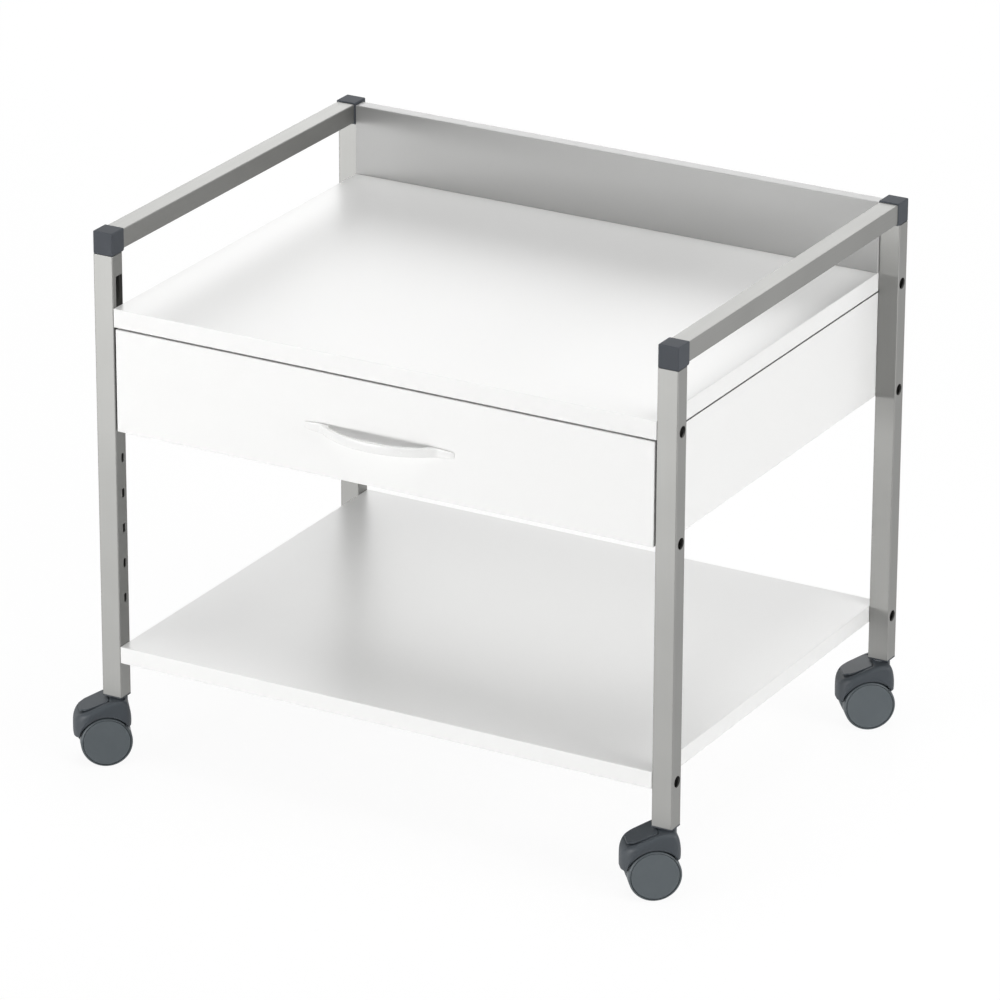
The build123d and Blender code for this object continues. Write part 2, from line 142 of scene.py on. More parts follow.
def oblong(low, high, radius, steps=6):
    """Points round a rectangle between two corners, which are pairs, with rounded corners."""
    points = []
    for right, top, turn in ((1, 1, 0), (0, 1, 90), (0, 0, 180), (1, 0, 270)):
        across = high[0] - radius if right else low[0] + radius
        along = high[1] - radius if top else low[1] + radius
        for step in range(steps + 1):
            angle = math.radians(turn + 90 * step / steps)
            points.append((across + radius * math.cos(angle), along + radius * math.sin(angle)))
    return points


def finished(name, mesh, material, crease=35):
    """Turns a bmesh into an object with outward faces, smooth where it is rounded."""
    bmesh.ops.remove_doubles(mesh, verts=mesh.verts, dist=1e-7)
    bmesh.ops.recalc_face_normals(mesh, faces=mesh.faces)
    for edge in mesh.edges:
        edge.smooth = edge.calc_face_angle(0) < math.radians(crease)
    for face in mesh.faces:
        face.smooth = True
    data = bpy.data.meshes.new(name)
    mesh.to_mesh(data)
    mesh.free()
    piece = bpy.data.objects.new(name, data)
    bpy.context.scene.collection.objects.link(piece)
    data.materials.append(material)
    even = piece.modifiers.new("even_normals", "WEIGHTED_NORMAL")
    even.keep_sharp = True
    return piece


def flat_faced(piece):
    """Shades a piece by its plain faces, for one whose rounded edges are very small."""
    piece.modifiers.clear()
    for face in piece.data.polygons:
        face.use_smooth = False
    return piece


def cut_from(piece, cutters):
    """Cuts closed meshes out of a piece, for good."""
    tool = finished("cutter", cutters, piece.data.materials[0])
    piece.modifiers.clear()
    change = piece.modifiers.new("cut", "BOOLEAN")
    change.object = tool
    change.solver = "EXACT"
    seen = piece.evaluated_get(bpy.context.evaluated_depsgraph_get())
    cut = bpy.data.meshes.new_from_object(seen)
    piece.modifiers.clear()
    piece.data = cut
    bpy.data.objects.remove(tool)
    return piece


def prism(mesh, outline, start, end):
    """Adds a solid with an outline of (y, z) points between two values of x."""
    rings = skin(mesh, [[(x, y, z) for y, z in outline] for x in (start, end)])
    mesh.faces.new(rings[0])
    mesh.faces.new(rings[-1])


post_metal = satin_aluminium("anodised_aluminium_upright", 2)
post_depth = 0.0225
post_wall = 0.0022
post_round = 0.0015
bore_round = 0.0006
bolt_line = 0.28625
bolt_levels = (0.5925, 0.4525, 0.148)
access_radius = 0.0072
access_line = 0.2878
bolt_hole = 0.0033
hole_sides = 40
cut_past = 0.001
slot_half, slot_low, slot_high, slot_corner = 0.0070, 0.6015, 0.6435, 0.002
peg_slots = 5
peg_pitch, peg_half, peg_tall, peg_corner = 0.0464, 0.0025, 0.006, 0.0024
for corner in corners:
    low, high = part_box(f"post_{corner}")
    side = 1 if low.x > 0 else -1
    end = 1 if low.y > 0 else -1
    if end < 0:
        high.y = low.y + post_depth
    else:
        low.y = high.y - post_depth
    outer = oblong(low.xy, high.xy, post_round)
    inset = Vector((post_wall, post_wall))
    inner = oblong(low.xy + inset, high.xy - inset, bore_round)
    rings = ((outer, low.z), (outer, high.z), (inner, high.z), (inner, low.z))
    rows = [[(x, y, z) for x, y in ring] for ring, z in rings]
    mesh = bmesh.new()
    skin(mesh, rows + rows[:1])
    piece = finished(f"post_{corner}_tube", mesh, post_metal)
    outer_face = max(abs(low.x), abs(high.x))
    inner_face = min(abs(low.x), abs(high.x))
    near = [side * (inner_face + shift) for shift in (-cut_past, post_wall + cut_past)]
    far = [side * (outer_face + shift) for shift in (cut_past, -post_wall - cut_past)]
    cutters = bmesh.new()
    for level in bolt_levels:
        turns = [2 * math.pi * step / hole_sides for step in range(hole_sides)]
        holes = ((access_line, access_radius, far), (bolt_line, bolt_hole, near))
        for line, radius, (first, last) in holes:
            outline = [(end * line + radius * math.cos(a), level + radius * math.sin(a)) for a in turns]
            prism(cutters, outline, first, last)
    corner_low = (end * bolt_line - slot_half, slot_low)
    corner_high = (end * bolt_line + slot_half, slot_high)
    prism(cutters, oblong(corner_low, corner_high, slot_corner), *near)
    for step in range(1, peg_slots + 1):
        z = bolt_levels[1] - step * peg_pitch
        corner_low = (end * bolt_line - peg_half, z - peg_tall)
        corner_high = (end * bolt_line + peg_half, z + peg_tall)
        prism(cutters, oblong(corner_low, corner_high, peg_corner), *near)
    flat_faced(cut_from(piece, cutters))
    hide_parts(f"post_{corner}")
    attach(piece, "frame")


# The castors' sockets and the corner connectors: injection-moulded nylon with
# glass fibre, dark grey, from a spark-eroded mould that leaves a fine even
# grain. The socket is pressed into a post's foot, the connector into its top.
def moulded_nylon(name, dark, light, rough, grain=0.0007):
    """Moulded nylon: a matt dark grey with a fine grain and slightly paler flow marks.

    The real grain is finer than the picture can show, so it is drawn about 0.7 mm wide.
    """
    material, tree, shader = blank(name)
    place = add(tree, "TexCoord")
    grit = add(tree, "TexNoise", {"Scale": 1 / grain, "Detail": 2}, {"Vector": place.outputs["Object"]})
    flow = add(tree, "TexNoise", {"Scale": 40, "Detail": 3}, {"Vector": place.outputs["Object"]})
    tone = {"Color1": linear(dark), "Color2": linear(light)}
    colour = add(tree, "MixRGB", tone, {"Fac": flow.outputs["Fac"]})
    spread = {"To Min": rough - 0.06, "To Max": rough + 0.06}
    gloss = add(tree, "MapRange", spread, {"Value": grit.outputs["Fac"]})
    relief = add(tree, "Bump", {"Strength": 0.3, "Distance": 0.00008}, {"Height": grit.outputs["Fac"]})
    shader.inputs["IOR"].default_value = 1.53
    tree.links.new(colour.outputs["Color"], shader.inputs["Base Color"])
    tree.links.new(gloss.outputs["Result"], shader.inputs["Roughness"])
    tree.links.new(relief.outputs["Normal"], shader.inputs["Normal"])
    return material


connector_nylon = moulded_nylon("glass_filled_nylon", "#373B41", "#3E4248", 0.78)
stem_bore = 0.0058
plug_play = 0.0001
socket_steps = 8
for corner in corners:
    low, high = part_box(f"castor_socket_{corner}")
    post_low, post_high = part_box(f"post_{corner}")
    middle = (post_low + post_high) / 2
    if low.y < 0:
        post_high.y = post_low.y + post_depth
    else:
        post_low.y = post_high.y - post_depth
    flange = oblong(post_low.xy, post_high.xy, post_round, socket_steps)
    inset = Vector((1, 1)) * (post_wall + plug_play)
    plug = oblong(post_low.xy + inset, post_high.xy - inset, bore_round, socket_steps)
    bore = []
    for place in range(len(flange)):
        turn, step = divmod(place, socket_steps + 1)
        angle = math.radians(90 * turn + 90 * step / socket_steps)
        bore.append((middle.x + stem_bore * math.cos(angle), middle.y + stem_bore * math.sin(angle)))
    rings = [(flange, low.z), (flange, post_low.z), (plug, post_low.z)]
    rings += [(plug, high.z), (bore, high.z), (bore, low.z)]
    rows = [[(x, y, z) for x, y in ring] for ring, z in rings]
    mesh = bmesh.new()
    skin(mesh, rows + rows[:1])
    piece = finished(f"castor_socket_{corner}_plug", mesh, connector_nylon)
    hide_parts(f"castor_socket_{corner}")
    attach(piece, "frame")


# The corner connectors: an elbow of the same nylon, as deep as the post below
# and as deep as it is wide above, where the rail meets it. One plug goes down
# into the post and one along into the rail.
rail_size = 0.025
elbow_round = 0.0016
elbow_throat = ((0, 0.0026), (0.0008, 0.001), (0.0024, 0.0002))
plug_root, plug_down, plug_along = 0.002, 0.02, 0.025
for corner in corners:
    low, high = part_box(f"post_{corner}")
    side = 1 if low.x > 0 else -1
    end = 1 if low.y > 0 else -1
    foot = high.z
    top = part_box(f"corner_connector_{corner}")[1].z
    rail_low, rail_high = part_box("top_rail_right" if side > 0 else "top_rail_left")
    outer = max(abs(low.y), abs(high.y))
    inner = abs(rail_high.y)
    middle_z = (rail_low.z + rail_high.z) / 2
    profile = [(outer, foot), (outer, top), (inner, top)]
    profile += [(inner + out, foot + up) for out, up in elbow_throat]
    profile += [(outer - post_depth, foot)]
    mesh = bmesh.new()
    prism(mesh, [(end * y, z) for y, z in profile], low.x, high.x)
    bmesh.ops.recalc_face_normals(mesh, faces=mesh.faces)
    sharp = [edge for edge in mesh.edges if edge.calc_face_angle(0) > math.radians(40)]
    bevel = {"offset": elbow_round, "segments": 4, "profile": 0.5, "affect": "EDGES"}
    bmesh.ops.bevel(mesh, geom=sharp, clamp_overlap=True, **bevel)
    gap = post_wall + plug_play
    down = oblong((low.x + gap, outer - post_depth + gap), (high.x - gap, outer - gap), bore_round)
    ends = (foot + plug_root, foot - plug_down)
    rings = skin(mesh, [[(x, end * y, z) for x, y in down] for z in ends])
    mesh.faces.new(rings[1])
    middle_x = (low.x + high.x) / 2
    half = rail_size / 2 - gap
    along = oblong((middle_x - half, middle_z - half), (middle_x + half, middle_z + half), bore_round)
    ends = (inner + plug_root, inner - plug_along)
    rings = skin(mesh, [[(x, end * y, z) for x, z in along] for y in ends])
    mesh.faces.new(rings[1])
    piece = finished(f"corner_connector_{corner}_elbow", mesh, connector_nylon)
    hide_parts(f"corner_connector_{corner}")
    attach(piece, "frame")


# The castors' wheels, axles and stems: two discs of pale slate nylon on one
# zinc-plated steel axle, each with a soft grey tread moulded round it, and a
# steel stem that swivels in the socket.
def zinc_steel(name):
    """Bright zinc plate on steel: a cool grey metal with a faint spangle."""
    material, tree, shader = blank(name)
    place = add(tree, "TexCoord")
    spangle = add(tree, "TexVoronoi", {"Scale": 700}, {"Vector": place.outputs["Object"]})
    tone = {"Color1": linear("#B9BCC0"), "Color2": linear("#CDD0D2")}
    colour = add(tree, "MixRGB", tone, {"Fac": spangle.outputs["Distance"]})
    gloss = add(tree, "MapRange", {"To Min": 0.24, "To Max": 0.36}, {"Value": spangle.outputs["Distance"]})
    shader.inputs["Metallic"].default_value = 1
    tree.links.new(colour.outputs["Color"], shader.inputs["Base Color"])
    tree.links.new(gloss.outputs["Result"], shader.inputs["Roughness"])
    return material


def turned(name, profile, centre, axis, material, steps=96):
    """A body of revolution. The profile lists (along, radius) from one end of the axis to the other."""
    mesh = bmesh.new()
    along = Vector(axis).normalized()
    out = Vector((0, 0, 1))
    side = along.cross(out)
    rings = []
    for shift, radius in profile:
        ring = []
        for step in range(steps):
            angle = 2 * math.pi * step / steps
            spot = centre + along * shift + (out * math.cos(angle) + side * math.sin(angle)) * radius
            ring.append(mesh.verts.new(spot))
        rings.append(ring)
    for first, second in zip(rings, rings[1:]):
        for step in range(steps):
            after = (step + 1) % steps
            mesh.faces.new((first[step], first[after], second[after], second[step]))
    return finished(name, mesh, material)


def quarter(along, radius, size, start, end, steps=5):
    """Points on a rounded edge of a profile, about a centre, between two angles in degrees."""
    points = []
    for step in range(steps + 1):
        angle = math.radians(start + (end - start) * step / steps)
        points.append((along + size * math.cos(angle), radius + size * math.sin(angle)))
    return points


hood_nylon = moulded_nylon("moulded_slate_nylon", "#2B3137", "#32393F", 0.55)
disc_nylon = moulded_nylon("moulded_wheel_nylon", "#495054", "#51585C", 0.5)
tread_rubber = moulded_nylon("grey_tread_elastomer", "#444B4F", "#4B5256", 0.52, 0.0011)
plated = zinc_steel("zinc_plated_steel")
wheel_radius = 0.0325
hub_gap = 0.006
axle_hole, hub_radius, hub_foot = 0.0031, 0.0095, 0.0105
wheel_face = 0.0243
disc_thick = 0.005
rim_wall, rim_foot = 0.0022, 0.0032
disc_round, disc_drop = 0.0008, 0.0012
face_edge, face_middle, face_border = 0.0003, 0.0002, 0.005
face_pole = 0.0001
tread_depth = 0.0026
tread_round = 0.0024
tread_play = 0.00005
tread_lap = 0.002
joint_groove = 0.0002
for corner in corners:
    castor = f"castor_{corner}"
    for part in ("stem", "axle"):
        wear_finish(f"{castor}_{part}", plated)
    low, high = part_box(f"{castor}_axle")
    centre = (low + high) / 2
    for side in ("left", "right"):
        node = f"{castor}_wheel_{side}"
        near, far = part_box(node)
        joint = next(j for j in frame["joints"] if j["child"] == node)
        axis = Vector(joint["axis"])
        if ((near + far) / 2 - centre).dot(axis) < 0:
            axis.negate()
        inner = wheel_radius - tread_depth
        disc = [(hub_gap, axle_hole), (hub_gap, hub_radius), (wheel_face - disc_thick, hub_foot)]
        disc += [(wheel_face - disc_thick, inner - rim_foot), (hub_gap, inner - rim_wall), (hub_gap, inner)]
        disc += [(wheel_face - 2 * disc_round, inner)]
        disc += quarter(wheel_face - disc_round, inner - disc_drop, disc_round, 90, 0)
        disc += [(wheel_face - face_edge, inner - face_border), (wheel_face - face_middle, face_pole)]
        piece = turned(f"{node}_disc", disc, centre, axis, disc_nylon)
        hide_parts(node)
        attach(piece, node)
        tread = [(hub_gap, inner + tread_play)]
        tread += quarter(hub_gap + tread_round, wheel_radius - tread_round, tread_round, 180, 90)
        tread += quarter(wheel_face - tread_round, wheel_radius - tread_round, tread_round, 90, 0)
        tread += [(wheel_face - face_edge, inner + joint_groove)]
        tread += [(wheel_face - tread_lap, inner + tread_play), (hub_gap, inner + tread_play)]
        piece = turned(f"{node}_tread", tread, centre, axis, tread_rubber)
        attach(piece, node)


# The castors' hoods: one shell of slate nylon over both wheels, with plain
# sides, an arched rim that follows the wheels, and a shallow well in its roof
# for the pedal. A spine between the wheels carries the axle and the stem.
hood_half = 27
hood_round = 5.5
round_steps = 5
hood_wall = 2.2
hood_core = Vector((-19, 52))
flat_half = 5.5
least_half = 0.2
rear_bend, front_bend = -35, 2
rear_round, front_round, front_pinch = 22, 12.5, 0.25
arch_radius = 34.3
rim_lift, rim_bevel = 4.6, 2.0
axle_back, axle_high = -17, 32.5
well_front = -12.4
well_play = 0.35
well_top, well_top_share = 18.8, 0.92
well_foot, well_share = 18.65, 0.9
cheek_slot_half, cheek_slot_near, cheek_slot_far = 5.5, 5, 8.2
plate_top, plate_top_at, plate_fall = 86.2, -14, 0.36
plate_thick = 2.2
tip_half, tip_at = 18, -50
plate_flare, flare_run = 2, 37
rear_play = 0.9
press_room = 0.091
pin_back, pin_high, pin_boss = -24, 70, 4.4
axle_boss = 9
stem_boss, stem_boss_high = 9.8, 72
turret_radius, turret_bore = 12, 10.2
turret_foot, turret_floor, turret_top = 66, 86, 87.6
turret_sides = 64
spine_half = 5
# The line over the hood's middle, from its rear rim to its front one. Like all
# sizes of the hood and the pedal, it is in millimetres from the stem and floor.
hood_line = [(-56.4, 38), (-56.9, 46), (-56.7, 54), (-55.6, 60.5), (-52.6, 65.8), (-48.5, 69.8)]
hood_line += [(-43, 72.8), (-28, 79.6), (-14, 85.4), (-5, 87.2), (3, 87.3), (8.2, 85.6)]
hood_line += [(12, 78), (14.2, 67), (14.6, 58), (14.2, 53)]


def smooth_line(points, steps=5):
    """Points along a smooth curve that passes through the given ones."""
    given = [Vector(point) for point in points]
    given = [given[0]] + given + [given[-1]]
    made = []
    for a, b, c, d in zip(given, given[1:], given[2:], given[3:]):
        for step in range(steps):
            t = step / steps
            bend = 2 * a - 5 * b + 4 * c - d
            made.append((2 * b + (c - a) * t + bend * t**2 + (3 * b - a - 3 * c + d) * t**3) / 2)
    return made + [given[-1]]


def half_width(x):
    """How wide half the hood is: it narrows round its rear and its front."""
    rear = max(0, rear_bend - x) / rear_round
    front = max(0, x - front_bend) / front_round
    pinch = 1 - front_pinch * front**3
    return flat_half + (hood_half - flat_half) * math.sqrt(max(0, 1 - rear**2)) * pinch


def plate_z(x):
    """The height of the pedal plate's top."""
    return plate_top + plate_fall * (x - plate_top_at)


def well_z(x):
    """The height of the well's floor, with room for the plate to tip."""
    return plate_z(x) - plate_thick - well_play - press_room * max(0, pin_back - x)


def plate_half(x):
    """Half the pedal plate's width, which tapers and keeps inside the hood's rounded rear."""
    tapered = tip_half + plate_flare * (x - tip_at) / flare_run
    return min(tapered, well_share * (half_width(x) - hood_round) - rear_play)


def disc_points(x, z, radius, y, steps=40):
    """Points round a circle that faces along the axle."""
    angles = [2 * math.pi * step / steps for step in range(steps)]
    return [Vector((x + radius * math.cos(angle), y, z + radius * math.sin(angle))) for angle in angles]


def cheek_slot(place):
    """Whether a spot of the hood lies in one of the two slots that the pedal's cheeks go down through."""
    within = cheek_slot_near < abs(place.y) < cheek_slot_far
    return abs(place.x - pin_back) < cheek_slot_half and within and place.z > pin_high


def hood_mesh():
    """The hood with its wall, the turret under the post and the spine between the wheels."""
    mesh = bmesh.new()
    line = smooth_line(hood_line)
    count = len(line)
    start = math.asin((hood_line[0][1] - axle_high) / arch_radius)
    end = math.asin((hood_line[-1][1] - axle_high) / arch_radius)

    def arch_row(side, lift, inset, wall):
        # A row round the arch over the wheel
        row = []
        for step in range(count):
            angle = math.pi - start - (math.pi - start - end) * step / (count - 1)
            radius = arch_radius + lift * math.sin(math.pi * step / (count - 1))
            x = axle_back + radius * math.cos(angle)
            row.append((x, side * (half_width(x) - inset - wall), axle_high + radius * math.sin(angle)))
        return row

    def roof_row(side, inset, wall, most=None, share=1, sunk=False):
        # A row along the roof: with a share below 1 it lies on the roof's flat part or in the well
        row = []
        for point in line:
            spot = point + (hood_core - point).normalized() * (inset + wall)
            if sunk and spot.x < well_front:
                spot.y = min(spot.y, well_z(spot.x) - wall)
            round_off = hood_round * (1 - math.sqrt(max(0, 1 - (1 - inset / hood_round) ** 2)))
            wide = half_width(spot.x) - wall - round_off
            if share < 1:
                inside = max(least_half, half_width(spot.x) - hood_round)
                well = plate_half(spot.x) + most - tip_half if most > tip_half else most
                wide = min(well, inside * share)
            row.append((spot.x, side * wide, spot.y))
        return row

    def between(side, first, last, share, wall):
        # A row down the plain side, between two others
        row = []
        for a, b in zip(first, last):
            x = a[0] + (b[0] - a[0]) * share
            row.append((x, side * (half_width(x) - wall), a[2] + (b[2] - a[2]) * share))
        return row

    def half(side, wall):
        # All rows of one side, from the arch up to the middle of the roof
        rim = arch_row(side, rim_lift, 0, wall)
        brow = roof_row(side, hood_round, wall)
        rows = [arch_row(side, 0, 0 if wall else rim_bevel, wall), rim]
        rows += [between(side, rim, brow, share, wall) for share in (0.25, 0.5, 0.75)]
        rows += [brow]
        for step in range(1, round_steps + 1):
            rise = math.sin(math.radians(90 * step / round_steps))
            rows.append(roof_row(side, hood_round * (1 - rise), wall))
        rows.append(roof_row(side, 0, wall, well_top, well_top_share))
        rows.append(roof_row(side, 0, wall, well_foot, well_share, True))
        well_rows = ((14, 0.7), (cheek_slot_far, 0.45), (cheek_slot_near, 0.28), (2.5, 0.14))
        for most, share in well_rows:
            rows.append(roof_row(side, 0, wall, most, share, True))
        return rows

    outer = half(-1, 0) + half(1, 0)[::-1]
    inner = half(-1, hood_wall) + half(1, hood_wall)[::-1]
    rows = skin(mesh, inner[:1] + outer + inner[::-1], False, cheek_slot)
    for place in (0, -1):
        mesh.faces.new([row[place] for row in rows[:-1]])
    turns = [2 * math.pi * step / turret_sides for step in range(turret_sides)]
    turret = [(turret_foot, turret_radius), (turret_top - 1, turret_radius)]
    turret += [(turret_top, turret_radius - 1), (turret_top, turret_bore), (turret_floor, turret_bore)]
    skin(mesh, [[(r * math.cos(a), r * math.sin(a), z) for a in turns] for z, r in turret])
    spine = bmesh.new()
    bosses = [(axle_back, axle_high, axle_boss), (0, stem_boss_high, stem_boss)]
    bosses += [(pin_back, pin_high, pin_boss)]
    for end in (-spine_half, spine_half):
        for x, z, radius in bosses:
            for point in disc_points(x, z, radius, end):
                spine.verts.new(point)
    bmesh.ops.convex_hull(spine, input=spine.verts)
    loose = bpy.data.meshes.new("spine")
    spine.to_mesh(loose)
    spine.free()
    mesh.from_mesh(loose)
    return mesh


def castor_place(corner):
    """Turns millimetres about a castor's stem and axle into its place on the trolley."""
    swivel = next(j for j in frame["joints"] if j["child"] == f"castor_{corner}")
    spin = next(j for j in frame["joints"] if j["child"] == f"castor_{corner}_wheel_left")
    axle = Vector(spin["axis"]).normalized()
    ahead = axle.cross(Vector((0, 0, 1)))
    stem = Vector(swivel["pos_m"])
    turn = Matrix([[ahead.x, axle.x, 0, stem.x], [ahead.y, axle.y, 0, stem.y], [0, 0, 1, 0], [0, 0, 0, 1]])
    return turn @ Matrix.Scale(0.001, 4)


for corner in corners:
    mesh = hood_mesh()
    mesh.transform(castor_place(corner))
    piece = finished(f"castor_{corner}_hood", mesh, hood_nylon)
    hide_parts(f"castor_{corner}_housing")
    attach(piece, f"castor_{corner}")


# The brake pedals: a flat lever of the same nylon that lies in the well of the
# hood's sloping roof. Two cheeks under it go down through the roof and clip
# over pins on the spine.
plate_start, plate_end = -13.2, -49.5
plate_corner, corner_steps = 4, 6
plate_stations = (-42, -36, -28, -20)
under_round, top_round = 0.4, 0.6
cheek_back, cheek_foot, cheek_line = -28, 68, 6.6
cheek_long, cheek_thick, cheek_tall, cheek_round = 8, 2.4, 12.5, 0.6


def strip(mesh, low, high, radius):
    """Adds a bar between two corners to a mesh, with rounded edges."""
    middle = (low + high) / 2
    size = high - low
    place = Matrix.Translation(middle) @ Matrix.Diagonal(size.to_4d())
    made = bmesh.ops.create_cube(mesh, size=1, matrix=place)
    edges = {edge for vert in made["verts"] for edge in vert.link_edges}
    bmesh.ops.bevel(mesh, geom=list(edges), offset=radius, segments=2, profile=0.5, affect="EDGES")


def pedal_mesh():
    """The lever's plate and its two cheeks."""
    mesh = bmesh.new()
    outline = []
    middle = (plate_start + plate_end) / 2
    ends = ((plate_end, -1, 180, ()), (plate_start, -1, 270, plate_stations))
    ends += ((plate_start, 1, 0, ()), (plate_end, 1, 90, plate_stations[::-1]))
    for x, side, turn, run in ends:
        outline += [(spot, side * plate_half(spot)) for spot in run]
        centre_x = x + math.copysign(plate_corner, middle - x)
        centre_y = side * (plate_half(x) - plate_corner)
        for step in range(corner_steps + 1):
            angle = math.radians(turn + 90 * step / corner_steps)
            spot_x = centre_x + plate_corner * math.cos(angle)
            outline.append((spot_x, centre_y + plate_corner * math.sin(angle)))
    rows = []
    levels = ((0, under_round), (under_round, 0), (plate_thick - top_round, 0), (plate_thick, top_round))
    for up, inset in levels:
        shrink = 1 - inset / plate_half(middle)
        row = [(middle + (x - middle) * shrink, y * shrink) for x, y in outline]
        rows.append([(x, y, plate_z(x) - plate_thick + up) for x, y in row])
    rings = skin(mesh, rows)
    mesh.faces.new(rings[0])
    mesh.faces.new(rings[-1])
    for side in (-1, 1):
        low = Vector((cheek_back, side * cheek_line - cheek_thick / 2, cheek_foot))
        strip(mesh, low, low + Vector((cheek_long, cheek_thick, cheek_tall)), cheek_round)
    return mesh


for corner in corners:
    mesh = pedal_mesh()
    mesh.transform(castor_place(corner))
    piece = finished(f"castor_{corner}_pedal_plate", mesh, hood_nylon)
    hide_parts(f"castor_{corner}_brake_pedal")
    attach(piece, f"castor_{corner}_brake_pedal")


# The two shelves, the drawer's box and the drawer's front: chipboard faced
# with white melamine paper, pressed against a plate with a fine pebble, and
# cut on a saw. Their ends are drilled for the bolts through the posts.
def melamine(name, light, shade, rough=0.34):
    """Melamine-faced board: an even, slightly glossy surface with a fine pebble.

    The real pebble is about 0.6 mm wide; it is drawn 0.9 mm wide so that it shows.
    """
    material, tree, shader = blank(name)
    place = add(tree, "TexCoord")
    pebble_wide = 0.0009
    pebbled = {"Scale": 1 / pebble_wide, "Detail": 1}
    pebble = add(tree, "TexNoise", pebbled, {"Vector": place.outputs["Object"]})
    cloud = add(tree, "TexNoise", {"Scale": 3, "Detail": 2}, {"Vector": place.outputs["Object"]})
    tone = {"Color1": linear(light), "Color2": linear(shade)}
    colour = add(tree, "MixRGB", tone, {"Fac": cloud.outputs["Fac"]})
    spread = {"To Min": rough - 0.05, "To Max": rough + 0.05}
    gloss = add(tree, "MapRange", spread, {"Value": pebble.outputs["Fac"]})
    relief = add(tree, "Bump", {"Strength": 0.12, "Distance": 0.00004}, {"Height": pebble.outputs["Fac"]})
    shader.inputs["IOR"].default_value = 1.52
    tree.links.new(colour.outputs["Color"], shader.inputs["Base Color"])
    tree.links.new(gloss.outputs["Result"], shader.inputs["Roughness"])
    tree.links.new(relief.outputs["Normal"], shader.inputs["Normal"])
    return material


white_board = melamine("white_melamine", "#EEEEED", "#EBEBEA")
white_boards = ["top_shelf", "lower_shelf", "cabinet_side_left", "cabinet_side_right", "cabinet_bottom"]
white_boards += ["cabinet_back", "drawer_front", "drawer_side_left", "drawer_side_right", "drawer_back"]
for name in white_boards:
    wear_finish(name, white_board)
wear_finish("drawer_bottom", melamine("white_hardboard", "#F0F0EE", "#ECECEA", 0.45))


# The boards' edging: ABS strip 1 mm thick, glued on hot and trimmed flush
# with a small radius. It is a shade glossier than the face, and the joint
# shows as a hair line along each edge.
def abs_edging(name, light, shade):
    """Extruded ABS edging: smooth and slightly glossy, with a faint cloud in its tone."""
    material, tree, shader = blank(name)
    place = add(tree, "TexCoord")
    cloud = add(tree, "TexNoise", {"Scale": 60, "Detail": 2}, {"Vector": place.outputs["Object"]})
    tone = {"Color1": linear(light), "Color2": linear(shade)}
    colour = add(tree, "MixRGB", tone, {"Fac": cloud.outputs["Fac"]})
    gloss = add(tree, "MapRange", {"To Min": 0.26, "To Max": 0.34}, {"Value": cloud.outputs["Fac"]})
    shader.inputs["IOR"].default_value = 1.53
    tree.links.new(colour.outputs["Color"], shader.inputs["Base Color"])
    tree.links.new(gloss.outputs["Result"], shader.inputs["Roughness"])
    return material


edging_proud = 0.00012
edging_back = 0.0006
edging_inset = 0.0007
edging_round = 0.0002


def edge_strip(mesh, low, high, axis, end, trims):
    """Lays one strip of edging on the face at a board's low (-1) or high (+1) end of an axis."""
    first, last = low.copy(), high.copy()
    face = high[axis] if end > 0 else low[axis]
    first[axis] = min(face + end * edging_proud, face - end * edging_back)
    last[axis] = max(face + end * edging_proud, face - end * edging_back)
    for other in range(3):
        if other != axis:
            first[other] += trims.get(other, edging_inset)
            last[other] -= trims.get(other, edging_inset)
    strip(mesh, first, last, edging_round)


white_abs = abs_edging("white_abs_edging", "#EFEFEE", "#ECECEB")
post_gap = 0.0002
post_side = post_depth + post_gap
edged = {
    "top_shelf": [(1, -1, {}), (1, 1, {}), (0, -1, {1: post_side}), (0, 1, {1: post_side})],
    "lower_shelf": [(1, -1, {}), (1, 1, {}), (0, -1, {1: post_side}), (0, 1, {1: post_side})],
    "drawer_front": [(2, 1, {}), (2, -1, {}), (0, -1, {}), (0, 1, {})],
    "cabinet_side_left": [(1, -1, {}), (1, 1, {}), (2, -1, {})],
    "cabinet_side_right": [(1, -1, {}), (1, 1, {}), (2, -1, {})],
    "cabinet_bottom": [(1, -1, {}), (1, 1, {})],
    "drawer_side_left": [(2, 1, {})],
    "drawer_side_right": [(2, 1, {})],
    "drawer_back": [(2, 1, {})],
}
for board, strips in edged.items():
    mesh = bmesh.new()
    low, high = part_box(board)
    for axis, end, trims in strips:
        edge_strip(mesh, low, high, axis, end, trims)
    piece = finished(f"{board}_edging", mesh, white_abs)
    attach(piece, nodes[board]["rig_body"])


# The joints between the top board and the box's sides: a thin dark strip, a
# painted shadow for the shade in the play between them, that shows as a fine line.
painted_shadow_line = moulded_nylon("dark_pvc_foam", "#3B3B3A", "#434342", 0.8)
shadow_strip_proud, shadow_strip_back = 0.00015, 0.0008
shadow_strip_thick, shadow_strip_play, shadow_strip_round = 0.0013, 0.00005, 0.0002
for side in ("left", "right"):
    low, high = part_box(f"cabinet_side_{side}")
    mesh = bmesh.new()
    proud = Vector((shadow_strip_proud, -shadow_strip_back, 0))
    first = Vector((low.x, low.y, high.z - shadow_strip_thick)) - proud
    last = high + proud - Vector((0, 0, shadow_strip_play))
    # The strip's dark colour is painted shadow along the joint.
    strip(mesh, first, last, shadow_strip_round)
    piece = finished(f"painted_shadow_strip_{side}", mesh, painted_shadow_line)
    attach(piece, "frame")


# The back panel: the same board in light grey, standing on the top shelf
# between the rear posts, its ends held in their long slots.
grey_board = melamine("grey_melamine", "#A9A9A8", "#A6A6A5", 0.4)
grey_abs = abs_edging("grey_abs_edging", "#8C8C8B", "#898988")
wear_finish("back_panel", grey_board)
low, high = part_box("back_panel")
post_low, post_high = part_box("post_rear_right")
low.x, high.x = -post_low.x, post_low.x
mesh = bmesh.new()
edge_strip(mesh, low, high, 2, 1, {})
piece = finished("back_panel_edging", mesh, grey_abs)
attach(piece, "frame")


